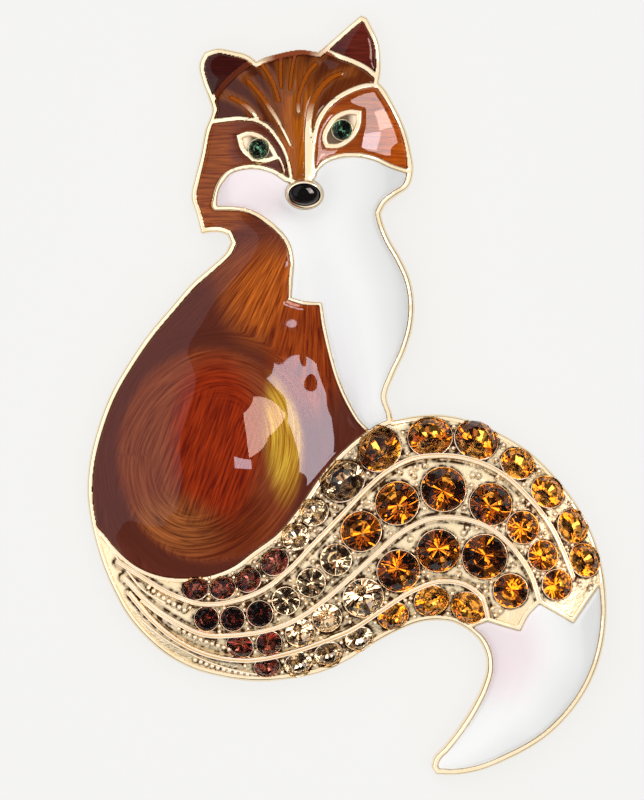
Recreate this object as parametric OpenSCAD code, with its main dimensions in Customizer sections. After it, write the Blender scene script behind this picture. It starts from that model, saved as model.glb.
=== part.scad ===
/* [Brooch] */
// Width over all, from the back of the haunch to the outside of the tail
brooch_w = 42.4; // [40:0.1:60]
// Height over all, from the tip of the tail to the tip of the ear
brooch_h = 62; // [58:0.1:88]
// Height of the metal edge above the surface that the brooch lies on
edge_h = 3.2; // [2.8:0.1:5]

/* [Relief] */
// Rise of the haunch above the edge
haunch_rise = 3.6; // [1:0.1:5]
// Rise of the back of the neck above the edge
neck_rise = 2.2; // [1:0.1:4]
// Rise of the head above the edge
head_rise = 2.5; // [1:0.1:4]
// Rise of the muzzle above the edge
muzzle_rise = 3.1; // [1:0.1:4.5]
// Rise of the chest above the edge
chest_rise = 2.3; // [1:0.1:4]
// Rise of the ears above the edge
ear_rise = 0.9; // [0.3:0.1:2]
// Rise of the middle of the tail above the edge
tail_rise = 3.0; // [1:0.1:5]

/* [Casting] */
// Thickness of the skirt round the hollow back
wall = 1.1; // [0.8:0.05:1.6]
// Thickness of the metal under the enamel
plate_t = 1.5; // [1:0.05:2]
// Width of the bright rim round the outside
rim_w = 0.45; // [0.3:0.05:0.7]
// Height of the rims and lines above the enamel
line_lift = 0.12; // [0.05:0.01:0.3]
// Width of the ridges between the rows of stones
ridge_w = 0.42; // [0.3:0.02:0.6]
// Height of the ridges above the bed of the stones
ridge_h = 0.45; // [0.2:0.05:0.7]
// Diameter of the grains that hold the stones
grain_d = 0.5; // [0.3:0.05:0.7]
// Height of the grains above the bed of the stones
grain_h = 0.4; // [0.2:0.05:0.6]

/* [Enamel] */
// Depth of the enamel
enamel_t = 0.6; // [0.4:0.05:0.8]
// Gap between the enamel and the metal round it
enamel_gap = 0.04; // [0.02:0.01:0.08]

/* [Stones] */
// Girdle diameter of a large stone
large_d = 3.6; // [3:0.05:4]
// Girdle diameter of a medium stone
medium_d = 2.75; // [2.4:0.05:3]
// Girdle diameter of a small stone
small_d = 2.25; // [1.8:0.05:2.4]
// Girdle diameter of an eye stone
eye_d = 1.6; // [1.2:0.05:1.8]
// Gap between a stone and its seat
seat_gap = 0.04; // [0.02:0.01:0.08]
// Least metal between two seats, and between a seat and the outside
web = 0.12; // [0.1:0.01:0.3]

/* [Nose] */
// Width of the nose
nose_w = 2.55; // [2:0.05:3.2]
// Height of the nose in the face
nose_h = 1.95; // [1.5:0.05:2.4]
// Rise of the nose above the muzzle
nose_rise = 0.75; // [0.4:0.05:1.2]
// Width of the gold bezel round the nose
bezel_w = 0.22; // [0.15:0.01:0.3]

/* [Pin] */
// Diameter of the pin's stem
pin_d = 0.8; // [0.6:0.05:1]
// Height of the stem's middle above the surface that the brooch lies on
pin_z = 1.1; // [0.9:0.05:1.4]
// Length of the hinge block and of the catch, along the pin
fitting_l = 3.4; // [2.5:0.1:4.5]
// Width of the hinge block and of the catch
fitting_w = 2.6; // [2:0.1:3.5]

/* [Hidden] */
$fn = 24;
// Every outline below is set out on one drawing, x to the right and y down. The brooch takes up
// DRAWING units of it, across and up, round the point MIDDLE, and place() turns it into millimetres.
DRAWING = [520, 760];
MIDDLE = [347, 395];
unit = [brooch_w / DRAWING[0], brooch_h / DRAWING[1]];
chord = 36;
bed_t = enamel_t + plate_t;

// Columns of an outline: x, y, and 1 where it has a corner
LEFT_EAR = [[262, 66, 1], [250, 56], [232, 50.5], [216, 48.5], [204, 52.5], [199, 64], [202, 82],
    [208, 98], [213, 114, 1], [262, 110, 1]];
RIGHT_EAR = [[318, 52, 1], [328, 43.5], [340, 33], [352, 22.5], [361, 15], [367, 17.5], [373, 29],
    [379, 43], [381, 58], [381, 72], [378, 90, 1], [330, 100, 1]];
HEAD = [[300, 49.5], [320, 52], [340, 60], [353, 65], [366, 72], [381, 85], [395, 107], [405, 128],
    [411, 150], [413.5, 172], [409, 187], [397, 196], [386, 205], [380, 216, 1], [330, 245, 1],
    [250, 245, 1], [222, 232.5, 1], [212, 232], [201, 233.5, 1], [196, 214], [191, 196], [194, 180],
    [200, 155], [205, 130], [213, 104], [225, 88], [241, 73], [258, 60.5], [278, 53.5]];
TORSO = [[219, 232, 1], [227, 235], [230.5, 243], [226, 252], [213, 264.5], [192, 283], [170, 308],
    [149, 333], [129, 362], [111, 393], [98.5, 425], [90, 458], [87, 490], [90.5, 521], [97, 548, 1],
    [150, 600, 1], [330, 540, 1], [394, 430, 1], [392, 414, 1], [387, 398], [394, 376], [405, 353],
    [413, 326], [414.5, 303], [411, 281], [401, 258], [390, 239], [382, 218], [380, 208, 1],
    [330, 180, 1], [250, 180, 1]];
TAIL_OUTSIDE = [[91, 519, 1], [97, 548], [104, 569], [114, 592], [128, 617], [145, 637], [166, 655],
    [190, 668], [221, 677], [256, 681.5], [290, 679], [320, 673], [350, 659.5], [377, 642],
    [400, 630], [420, 622.5], [438, 620.5], [454, 623], [468, 630.5], [479, 641], [485.5, 655],
    [486.5, 669], [482, 686], [472, 707], [458, 729], [444, 747], [434, 758], [431.5, 767],
    [436, 774.5, 1], [454, 775], [479, 771], [508, 759.5], [541, 741], [570, 714], [591, 682],
    [603, 647], [607, 607], [604, 573], [596, 542], [580, 509], [557, 478], [529, 451], [498, 432],
    [466, 419], [440, 414.5], [415, 416], [393, 420.5, 1]];
TAIL_INSIDE = [[376, 428], [359, 440], [341, 456], [322, 478], [300, 510], [280, 534], [254, 553.5],
    [234, 568], [210, 577], [185, 579.5], [160, 577], [137, 568], [115, 550], [100, 532]];
TAIL_TIP = [[470, 625, 1], [487, 618, 1], [500, 622], [518, 627, 1], [526, 612], [538, 599.5, 1],
    [555, 609], [572, 619, 1], [584, 602], [598, 583, 1], [640, 570, 1], [640, 800, 1], [400, 800, 1],
    [420, 740, 1]];
LEFT_EYE = [[236, 136, 1], [250, 132], [263, 136.5], [273, 146.5], [280.5, 160, 1], [267, 164],
    [252, 162.5], [241, 152]];
RIGHT_EYE = [[362, 111, 1], [348, 110.5], [335, 116], [326, 127], [322, 141], [325, 149.5, 1],
    [340, 149], [352, 141.5], [360, 129]];
NOSE = [304.5, 195];
NOSE_TURN = -4;

// The edges of the white front, from its left corner over the muzzle and down the chest
MUZZLE_LEFT = [[214, 208.5, 1], [214.5, 198], [219, 184], [228, 173.5], [241, 168.5], [256, 167.5],
    [272, 171.5], [290, 182, 1]];
MUZZLE_RIGHT = [[313, 178, 1], [322, 164.5], [335, 158], [354, 155.5], [374, 159], [393, 167],
    [418, 174.5, 1]];
CHEST_LEFT = [[214, 208.5, 1], [228, 209], [245, 211], [261, 218], [275, 228.5], [287, 243],
    [291.5, 261], [290.5, 280], [289.5, 299.5, 1], [304, 303.5], [320, 304.5, 1], [323, 325],
    [329, 352], [336, 377], [348, 405], [360, 424], [367, 431, 1]];

// The gold brow lines, from the side of the head to the nose
BROW_LEFT = [[203, 123, 1], [220, 121], [240, 119.5], [257, 121.5], [268, 128], [277, 139], [284, 151],
    [289, 166], [291.5, 181, 1]];
BROW_RIGHT = [[392, 90, 1], [380, 86], [368, 86], [354, 90], [339, 98], [326, 110], [318, 124],
    [314, 142], [312.5, 160], [313.5, 178, 1]];

// Columns: points, width at the start, width at the end, in millimetres
LINES = [
    [concat(MUZZLE_LEFT, [[302, 184, 1]]), 0.34, 0.34],
    [MUZZLE_RIGHT, 0.3, 0.36],
    [CHEST_LEFT, 0.34, 0.26],
    [BROW_LEFT, 0.42, 0.3],
    [BROW_RIGHT, 0.42, 0.42],
    [[[308.5, 126, 1], [309, 143], [309, 161], [309.5, 180, 1]], 0.55, 0.75],
    [[[279, 158.5, 1], [282.5, 166], [284.5, 173, 1]], 0.26, 0.2],
    [[[231, 98, 1], [237, 101], [244, 105], [252, 112], [258, 120, 1]], 0.26, 0.34],
    [[[248, 81, 1], [255, 89], [263, 99], [272, 112], [282, 129], [291, 147, 1]], 0.24, 0.3],
    [[[260, 62, 1], [268, 74], [274, 86], [279, 102, 1]], 0.24, 0.24],
    [[[281, 54, 1], [280.5, 70], [281, 88, 1]], 0.24, 0.2],
    [[[296, 50, 1], [292, 70], [290, 90, 1]], 0.24, 0.2],
    [[[316, 64, 1], [308, 74], [302, 88], [298.5, 101], [298.5, 113, 1]], 0.28, 0.26],
    [[[342, 74, 1], [334, 77], [325, 84], [317, 95], [311, 109], [308.5, 126, 1]], 0.26, 0.5],
    [concat([[394, 420, 1]], TAIL_INSIDE, [[90, 522, 1]]), 0.36, 0.3]
];

// Columns: points of each ridge between two rows of stones, from the haunch to the white tip
RIDGES = [
    [[118, 562, 1], [141, 577], [172, 595], [205, 604.5], [235, 601], [262, 591], [288, 571.5],
        [314, 545], [342, 516.5], [365, 492], [387, 473], [410, 460.5], [440, 456.5], [472, 461],
        [502, 475.5], [528, 499], [548, 525], [563, 556], [571, 577, 1]],
    [[124, 577, 1], [148, 601], [178, 621.5], [206, 633], [235, 633.5], [266, 629], [292, 620],
        [320, 602], [348, 578.5], [374, 555], [402, 531.5], [430, 518.5], [460, 518], [490, 528.5],
        [514, 550], [531, 577], [538, 599, 1]],
    [[130, 592, 1], [150, 615], [176, 637], [210, 653], [248, 658], [284, 652], [320, 640.5],
        [352, 627], [382, 607.5], [412, 589], [442, 579.5], [466, 583.5], [482, 596], [489, 617, 1]]
];

// Columns of a relief form's rows: x, y, half width, share of the form's rise
RELIEF = [
    [haunch_rise, [[204, 440, 97, 1], [210, 468, 95, 1]]],
    [neck_rise, [[270, 262, 62, 0.95], [240, 325, 92, 1], [215, 400, 122, 1], [206, 465, 133, 1]]],
    [head_rise, [[268, 138, 82, 1], [338, 130, 84, 1]]],
    [muzzle_rise, [[248, 192, 42, 0.7], [300, 178, 52, 1], [352, 186, 58, 0.75]]],
    [muzzle_rise, [[298, 90, 30, 0.75], [304, 190, 34, 1.05]]],
    [chest_rise, [[335, 235, 66, 1], [362, 300, 60, 1], [372, 350, 50, 0.9], [378, 410, 30, 0.7]]],
    [ear_rise, [[236, 82, 44, 1], [214, 64, 26, 1]]],
    [ear_rise, [[352, 66, 40, 1], [362, 36, 24, 1]]],
    [tail_rise, [[110, 562, 18, 0.3], [140, 592, 32, 0.5], [178, 616, 44, 0.7], [258, 618, 66, 0.9],
        [354, 565, 84, 1], [440, 518, 105, 1], [498, 545, 96, 1], [530, 588, 82, 0.95],
        [546, 650, 63, 0.8], [520, 708, 48, 0.6], [478, 746, 28, 0.35], [448, 764, 14, 0.2]]]
];
BLEND = 4;

// Columns: x, y, girdle diameter, row counted from the outside of the tail
GARNETS = [[196, 589, small_d, 1], [223, 588, small_d, 1], [249, 580, small_d, 1],
    [275, 562, small_d, 1], [207, 618, small_d, 2], [233, 618, small_d, 2], [260, 613, small_d, 2],
    [240, 645, small_d, 3], [269, 642, small_d, 3], [267, 666, small_d, 4]];
CHAMPAGNES = [[296, 537, small_d, 1], [315, 513, small_d, 1], [344, 482, large_d, 1],
    [286, 600, small_d, 2], [311, 582, small_d, 2], [336, 559, medium_d, 2],
    [300, 632, medium_d, 3], [327, 617, medium_d, 3], [363, 597, large_d, 3],
    [298, 663, small_d, 4], [328, 653, small_d, 4], [359, 638, small_d, 4]];
TOPAZES = [[380, 451, large_d, 1], [430, 437, large_d, 1], [476, 440, large_d, 1],
    [517, 464, medium_d, 1], [547, 492, medium_d, 1], [572, 526, medium_d, 1],
    [584, 560, medium_d, 1], [361, 531, large_d, 2], [397, 503, large_d, 2],
    [443, 489, large_d, 2], [490, 504, large_d, 2], [522, 527, medium_d, 2],
    [542, 555, medium_d, 2], [556, 584, medium_d, 2], [398, 570, large_d, 3],
    [438, 550, large_d, 3], [484, 556, large_d, 3], [510, 590, medium_d, 3],
    [393, 615, medium_d, 4], [431, 600, medium_d, 4], [468, 607, medium_d, 4]];
STONES = concat(GARNETS, CHAMPAGNES, TOPAZES);
EYES = [[259, 150, eye_d], [342, 131, eye_d]];

// Shares of a stone's girdle diameter
CUT = [["table", 0.54], ["crown", 0.17], ["girdle", 0.03], ["pavilion", 0.4]];
// Places of the pin's two fittings on the drawing
HINGE = [300, 142];
CATCH = [216, 448];

function numbered(name, list) = [for (i = [1:len(list)]) str(name, i < 10 ? "_0" : "_", i)];
STONE_NODES = concat(numbered("garnet", GARNETS), numbered("champagne", CHAMPAGNES),
    numbered("topaz", TOPAZES));
STONE_TINTS = concat([for (s = GARNETS) "#5a1c12"], [for (s = CHAMPAGNES) "#cdb898"],
    [for (s = TOPAZES) "#a06414"]);

function place(p) = [(p[0] - MIDDLE[0]) * unit[0], (MIDDLE[1] - p[1]) * unit[1]];
function cut_share(name) = [for (c = CUT) if (c[0] == name) c[1]][0];

// A smooth run through the points from one to the next, as a cubic with the tangents of the arc
// through each point and its neighbours. A corner point takes the direction of its own side.
function along(a, b) = (b - a) / max(norm(b - a), 0.001);
function through(a, b, c) = along([0, 0], (b - a) * norm(c - b) / norm(b - a)
    + (c - b) * norm(b - a) / norm(c - b));
function xy(p) = [p[0], p[1]];
function leaves(q, i, closed) = let (n = len(q))
    len(q[i]) > 2 || !closed && (i == 0 || i == n - 1) ? undef
    : through(xy(q[(i + n - 1) % n]), xy(q[i]), xy(q[(i + 1) % n]));
function blend(a, b, ta, tb, t) = let (l = norm(b - a), d = along(a, b),
    m = (is_undef(ta) ? d : ta) * l, k = (is_undef(tb) ? d : tb) * l)
    a * (2 * t ^ 3 - 3 * t ^ 2 + 1) + m * (t ^ 3 - 2 * t ^ 2 + t)
    + b * (3 * t ^ 2 - 2 * t ^ 3) + k * (t ^ 3 - t ^ 2);
function smooth(q, closed) = let (n = len(q), last = closed ? n - 1 : n - 2)
    concat([for (i = [0:last]) let (a = xy(q[i]), b = xy(q[(i + 1) % n]), steps = ceil(norm(b - a) / chord))
        for (s = [0:steps - 1]) blend(a, b, leaves(q, i, closed), leaves(q, (i + 1) % n, closed), s / steps)],
    closed ? [] : [xy(q[n - 1])]);
function backwards(q) = [for (i = [len(q) - 1:-1:0]) q[i]];

module area(q) {
    polygon([for (p = smooth(q, true)) place(p)]);
}

module stroke(q, w_start, w_end) {
    path = [for (p = smooth(q, false)) place(p)];
    n = len(path) - 1;
    for (i = [0:n - 1])
        hull()
            for (k = [i, i + 1]) {
                c = path[min(n, k + 1)] - path[max(0, k - 1)];
                translate(path[k])
                    rotate(atan2(c[1], c[0]))
                        circle(d = w_start + (w_end - w_start) * k / n, $fn = 4);
            }
}

// The height of the brooch's front over the drawing: each form is a rounded back along its own
// spine, and the forms run into each other.
function reach(p, a, b) = let (d = xy(b) - xy(a),
    t = min(1, max(0, (p - xy(a)) * d / (d * d))),
    q = norm(p - xy(a) - d * t) / (a[2] + (b[2] - a[2]) * t))
    q < 1 ? (a[3] + (b[3] - a[3]) * t) * (1 - q ^ 2) : 0;
function form(p, f) = let (s = f[1]) f[0] * max([for (i = [0:len(s) - 2]) reach(p, s[i], s[i + 1])]);
function added(v, i = 0) = i == len(v) ? 0 : v[i] + added(v, i + 1);
function relief(p) = edge_h + added([for (f = RELIEF) form(p, f) ^ BLEND]) ^ (1 / BLEND);

// A sheet of the front between two heights above the relief, or from the height foot up, over the
// part of the drawing between the corners lo and hi. All sheets share one grid.
GRID = 36;
HOLLOW_GRID = 48;
MARGIN = [7.7, 7.3];
OUTLINES = concat(LEFT_EAR, RIGHT_EAR, HEAD, TORSO, TAIL_OUTSIDE);
function low(q) = [min([for (p = q) p[0]]), min([for (p = q) p[1]])] - MARGIN;
function high(q) = [max([for (p = q) p[0]]), max([for (p = q) p[1]])] + MARGIN;
LO = low(OUTLINES);
HI = high(OUTLINES);
// Every cut from the front starts this far above the relief
cut_h = haunch_rise;
module sheet(top, bottom, lo, hi, foot, step) {
    start = [for (k = [0, 1]) LO[k] + floor((lo[k] - LO[k]) / step) * step];
    nx = ceil((hi[0] - start[0]) / step);
    ny = ceil((hi[1] - start[1]) / step);
    n = (nx + 1) * (ny + 1);
    spots = [for (j = [0:ny]) for (i = [0:nx]) start + [i, j] * step];
    upper = [for (p = spots) let (m = place(p)) [m[0], m[1], relief(p) + top]];
    lower = [for (u = upper) [u[0], u[1], is_undef(foot) ? u[2] - top + bottom : foot]];
    at = function (i, j) j * (nx + 1) + i;
    side = concat([for (i = [0:nx]) at(i, 0)], [for (j = [1:ny]) at(nx, j)],
        [for (i = [nx - 1:-1:0]) at(i, ny)], [for (j = [ny - 1:-1:1]) at(0, j)]);
    m = len(side);
    faces = concat(
        [for (j = [0:ny - 1]) for (i = [0:nx - 1]) [at(i, j), at(i + 1, j), at(i + 1, j + 1)]],
        [for (j = [0:ny - 1]) for (i = [0:nx - 1]) [at(i, j), at(i + 1, j + 1), at(i, j + 1)]],
        [for (j = [0:ny - 1]) for (i = [0:nx - 1]) [n + at(i, j), n + at(i + 1, j + 1), n + at(i + 1, j)]],
        [for (j = [0:ny - 1]) for (i = [0:nx - 1]) [n + at(i, j), n + at(i, j + 1), n + at(i + 1, j + 1)]],
        [for (k = [0:m - 1]) [side[k], n + side[k], n + side[(k + 1) % m]]],
        [for (k = [0:m - 1]) [side[k], n + side[(k + 1) % m], side[(k + 1) % m]]]);
    polyhedron(concat(upper, lower), faces, convexity = 8);
}

module raised(top, bottom, lo = LO, hi = HI, foot = undef, step = GRID) {
    intersection() {
        translate([0, 0, -edge_h])
            linear_extrude(2 * edge_h + 3 * haunch_rise)
                children();
        sheet(top, bottom, lo, hi, foot, step);
    }
}

// Regions of the front, seen from above
module tail_area() {
    area(concat(TAIL_OUTSIDE, TAIL_INSIDE));
}

module outline() {
    area(LEFT_EAR);
    area(RIGHT_EAR);
    area(HEAD);
    area(TORSO);
    tail_area();
}

module inside_rim() {
    offset(delta = -rim_w)
        outline();
}

module forehead_area() {
    area(concat(BROW_LEFT, [[302, 189, 1]], backwards(BROW_RIGHT), [[420, 60, 1], [420, 20, 1],
        [180, 20, 1], [180, 125, 1]]));
}

module cheek_area() {
    area(concat(BROW_RIGHT, MUZZLE_RIGHT, [[440, 160, 1], [440, 80, 1]]));
}

module white_front_area() {
    area(concat(MUZZLE_LEFT, [[302, 186, 1]], MUZZLE_RIGHT, [[440, 200, 1], [440, 436, 1]],
        backwards(CHEST_LEFT)));
}

module eye_areas() {
    area(LEFT_EYE);
    area(RIGHT_EYE);
}

module nose_area(grow) {
    translate(place(NOSE))
        rotate(NOSE_TURN)
            scale([nose_w + 2 * grow, nose_h + 2 * grow])
                circle(d = 1);
}

module lines() {
    for (l = LINES)
        stroke(l[0], l[1], l[2]);
    eye_areas();
    nose_area(seat_gap + bezel_w);
}

module ears_area() {
    difference() {
        union() {
            area(LEFT_EAR);
            area(RIGHT_EAR);
        }
        offset(delta = rim_w)
            area(HEAD);
    }
}

// The cells that hold enamel are what the rims and lines leave of each region
module cell(name) {
    difference() {
        intersection() {
            inside_rim();
            if (name == "ears")
                ears_area();
            else if (name == "tip")
                offset(delta = -rim_w / 2)
                    area(TAIL_TIP);
            else
                difference() {
                    union() {
                        area(HEAD);
                        area(TORSO);
                    }
                    tail_area();
                }
            if (name == "forehead")
                forehead_area();
            if (name == "cheek")
                cheek_area();
            if (name == "white")
                white_front_area();
        }
        lines();
        if (name == "body") {
            forehead_area();
            cheek_area();
            white_front_area();
        }
    }
}

module cells() {
    for (name = ["ears", "tip", "forehead", "cheek", "white", "body"])
        cell(name);
}

module stone_field() {
    difference() {
        intersection() {
            inside_rim();
            offset(delta = -rim_w / 2)
                tail_area();
        }
        offset(delta = rim_w / 2)
            area(TAIL_TIP);
    }
}

// The slope of the front at a point, and a frame that stands square on it
SLOPE_SPAN = 8;
function slope(p) = let (s = SLOPE_SPAN)
    [(relief(p + [s, 0]) - relief(p - [s, 0])) / (2 * s * unit[0]),
    (relief(p - [0, s]) - relief(p + [0, s])) / (2 * s * unit[1])];
function lean(p) = atan(norm(slope(p)));

module upright(p, lift) {
    g = slope(p);
    m = place(p);
    translate([m[0], m[1], relief(p) + lift])
        rotate(atan2(-g[1], -g[0]))
            rotate([0, lean(p), 0])
                rotate(atan2(g[1], -g[0]))
                    children();
}

// A stone is as large as its size says, as far as its neighbours and the edge leave room
RIM_POINTS = [for (p = smooth(TAIL_OUTSIDE, false)) place(p)];
SPOTS = [for (s = STONES) let (m = place(xy(s))) [m[0], m[1], relief(xy(s))]];
STONE_D = [for (i = [0:len(STONES) - 1]) let (s = STONES[i], m = place(xy(s)), c = cos(lean(xy(s))))
    min(concat([s[2]],
        [for (j = [0:len(STONES) - 1]) if (j != i)
            2 * (norm(SPOTS[j] - SPOTS[i]) - web - 2 * seat_gap) * s[2] / (s[2] + STONES[j][2])],
        [for (e = RIM_POINTS) 2 * (norm(e - m) - web - seat_gap) / c]))];
SINK = 0.1;

// A round stone: a table with its star facets, kites, upper girdle facets and a pointed pavilion
CUT_SIDES = 8;
module cut_stone(d) {
    r = d / 2;
    n = CUT_SIDES;
    heights = [cut_share("crown"), cut_share("crown") * 0.5, 0, -cut_share("girdle")] * d;
    radii = [cut_share("table"), 0.83, 1, 1] * r;
    turn = [0, 0.5, 0, 0] * 360 / n;
    rings = [for (k = [0:3]) for (i = [0:n - 1]) let (a = 360 * i / n + turn[k])
        [radii[k] * cos(a), radii[k] * sin(a), heights[k]]];
    point = [0, 0, -(cut_share("girdle") + cut_share("pavilion")) * d];
    ring = function (k, i) k * n + i % n;
    faces = concat([[for (i = [n - 1:-1:0]) i]],
        [for (i = [0:n - 1]) [ring(0, i), ring(0, i + 1), ring(1, i)]],
        [for (i = [0:n - 1]) [ring(0, i), ring(1, i), ring(2, i)]],
        [for (i = [0:n - 1]) [ring(0, i + 1), ring(2, i + 1), ring(1, i)]],
        [for (i = [0:n - 1]) [ring(1, i), ring(2, i + 1), ring(2, i)]],
        [for (i = [0:n - 1]) [ring(2, i), ring(2, i + 1), ring(3, i + 1)]],
        [for (i = [0:n - 1]) [ring(2, i), ring(3, i + 1), ring(3, i)]],
        [for (i = [0:n - 1]) [ring(3, i), ring(3, i + 1), 4 * n]]);
    polyhedron(concat(rings, [point]), faces);
}

// The seat that a stone is set in: a straight bearing with a point below it
module seat(d) {
    r = d / 2 + seat_gap / cos(180 / CUT_SIDES);
    bearing = cut_share("girdle") * d + seat_gap;
    rotate_extrude($fn = CUT_SIDES)
        polygon([[0, -bearing - cut_share("pavilion") * d - seat_gap], [r, -bearing], [r, cut_h],
            [0, cut_h]]);
}

// Grains stand either side of where two stones of a row come closest
GRAIN_REACH = 1.3;
GRAINS = [for (i = [0:len(STONES) - 2]) for (j = [i + 1:len(STONES) - 1])
    let (a = xy(STONES[i]), b = xy(STONES[j]), ra = STONE_D[i] / 2, rb = STONE_D[j] / 2)
    if (STONES[i][3] == STONES[j][3] && norm(place(a) - place(b)) < (ra + rb) * GRAIN_REACH)
        let (m = a + (b - a) * ra / (ra + rb), c = along(a, b), out = min(ra, rb) * 0.75 / unit[0])
        for (side = [-1, 1]) m + [-c[1], c[0]] * side * out];

module grain(p) {
    m = place(p);
    translate([m[0], m[1], relief(p) - grain_d])
        cylinder(d1 = grain_d, d2 = grain_d / 2, h = grain_d + grain_h, $fn = 4);
}

module casting() {
    color("#d9bc85")
        difference() {
            union() {
                difference() {
                    raised(line_lift, 0, foot = 0)
                        outline();
                    raised(-bed_t, 0, foot = -edge_h / 2, step = HOLLOW_GRID)
                        offset(delta = -wall)
                            outline();
                    raised(cut_h, -enamel_t)
                        cells();
                    raised(cut_h, 0)
                        stone_field();
                }
                raised(ridge_h, -enamel_t)
                    intersection() {
                        offset(delta = rim_w / 4)
                            stone_field();
                        for (q = RIDGES)
                            stroke(q, ridge_w, ridge_w);
                    }
                for (p = GRAINS)
                    grain(p);
            }
            for (i = [0:len(STONES) - 1])
                upright(xy(STONES[i]), -SINK)
                    seat(STONE_D[i]);
            for (s = EYES)
                upright(xy(s), -SINK)
                    seat(s[2]);
            upright(NOSE, 0)
                rotate(NOSE_TURN)
                    translate([0, 0, -enamel_t])
                        scale([nose_w + 2 * seat_gap, nose_h + 2 * seat_gap, cut_h])
                            cylinder(d = 1, h = 1);
        }
}

module enamel(name, tint, within) {
    color(tint)
        raised(0, enamel_gap - enamel_t, low(within), high(within))
            offset(delta = -enamel_gap)
                cell(name);
}

module left_ear_enamel() {
    enamel("ears", "#4a120c", LEFT_EAR);
}

module right_ear_enamel() {
    enamel("ears", "#4a120c", RIGHT_EAR);
}

module forehead_enamel() {
    enamel("forehead", "#7a3018", HEAD);
}

module cheek_enamel() {
    enamel("cheek", "#8c3a18", HEAD);
}

module body_enamel() {
    enamel("body", "#6e2a16", concat(HEAD, TORSO));
}

module white_front() {
    enamel("white", "#f4f0f4", concat(HEAD, TORSO));
}

module white_tip() {
    enamel("tip", "#f4f0f4", TAIL_OUTSIDE);
}

module eye_stone(s) {
    color("#1c4a38")
        upright(xy(s), -SINK)
            cut_stone(s[2]);
}

// The nose is a flat-backed oval dome in its bezel
module nose() {
    sides = 16;
    rings = 4;
    foot = -enamel_t + enamel_gap;
    m = place(NOSE);
    points = concat([for (k = [0:rings - 1]) for (i = [0:sides - 1])
        let (a = 360 * i / sides, rise = k == 0 ? foot : nose_rise * sin(90 * (k - 1) / (rings - 1)),
            share = k == 0 ? 1 : cos(90 * (k - 1) / (rings - 1)))
        [nose_w / 2 * share * cos(a), nose_h / 2 * share * sin(a), rise]],
        [[0, 0, nose_rise]]);
    faces = concat([[for (i = [0:sides - 1]) i]],
        [for (k = [0:rings - 2]) for (i = [0:sides - 1]) let (j = (i + 1) % sides)
            [k * sides + i, (k + 1) * sides + i, (k + 1) * sides + j, k * sides + j]],
        [for (i = [0:sides - 1]) [(rings - 1) * sides + i, rings * sides,
            (rings - 1) * sides + (i + 1) % sides]]);
    color("#0c0a0a")
        upright(NOSE, 0)
            rotate(NOSE_TURN)
                polyhedron(points, faces);
}

// The pin and its two fittings, which are soldered to the inside of the hollow back. The inside is
// the relief's own grid, so its height between the grid's points is worked out on the same facets.
SOLDER = 0.05;
function inside_z(p) = let (g = HOLLOW_GRID, c = (p - LO) / g, i = [floor(c[0]), floor(c[1])],
    f = c - i, a = relief(LO + i * g), d = relief(LO + (i + [1, 1]) * g))
    -bed_t + (f[0] > f[1]
        ? let (b = relief(LO + (i + [1, 0]) * g)) a + (b - a) * f[0] + (d - b) * f[1]
        : let (b = relief(LO + (i + [0, 1]) * g)) a + (b - a) * f[1] + (d - b) * f[0]);
function under(p, turn) = min([for (u = [-2:2]) for (v = [-2:2])
    let (x = fitting_l * u / 4, y = fitting_w * v / 4)
    inside_z(p + [(x * cos(turn) - y * sin(turn)) / unit[0],
        -(x * sin(turn) + y * cos(turn)) / unit[1]])]) - SOLDER;

module pin_back() {
    from = place(HINGE);
    to = place(CATCH);
    run = norm(to - from);
    turn = atan2(to[1] - from[1], to[0] - from[0]);
    foot = pin_z - pin_d / 2;
    color("#c9a96a")
        translate([from[0], from[1], 0])
            rotate(turn) {
                for (f = [[0, HINGE], [run, CATCH]])
                    translate([f[0] - fitting_l / 2, -fitting_w / 2, foot])
                        cube([fitting_l, fitting_w, under(f[1], turn) - foot]);
                translate([0, 0, pin_z])
                    rotate([0, 90, 0])
                        cylinder(d = pin_d, h = run + fitting_l / 2 + pin_d);
                translate([run + fitting_l / 2 + pin_d, 0, pin_z])
                    rotate([0, 90, 0])
                        cylinder(d1 = pin_d, d2 = pin_d / 4, h = 2 * pin_d);
            }
}

module stone(i, tint) {
    color(tint)
        upright(xy(STONES[i]), -SINK)
            cut_stone(STONE_D[i]);
}

casting();
left_ear_enamel();
right_ear_enamel();
forehead_enamel();
cheek_enamel();
body_enamel();
white_front();
white_tip();
eye_stone(EYES[0]);  // left_eye_stone
eye_stone(EYES[1]);  // right_eye_stone
nose();
pin_back();
for (i = [0:len(STONES) - 1])
    stone(i, STONE_TINTS[i]);
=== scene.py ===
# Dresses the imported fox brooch: cast and gold-plated metal, enamel in its cells, cut stones in the
# tail. All lengths are in millimetres on the brooch until a mesh is made, which is in metres.
import math

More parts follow.
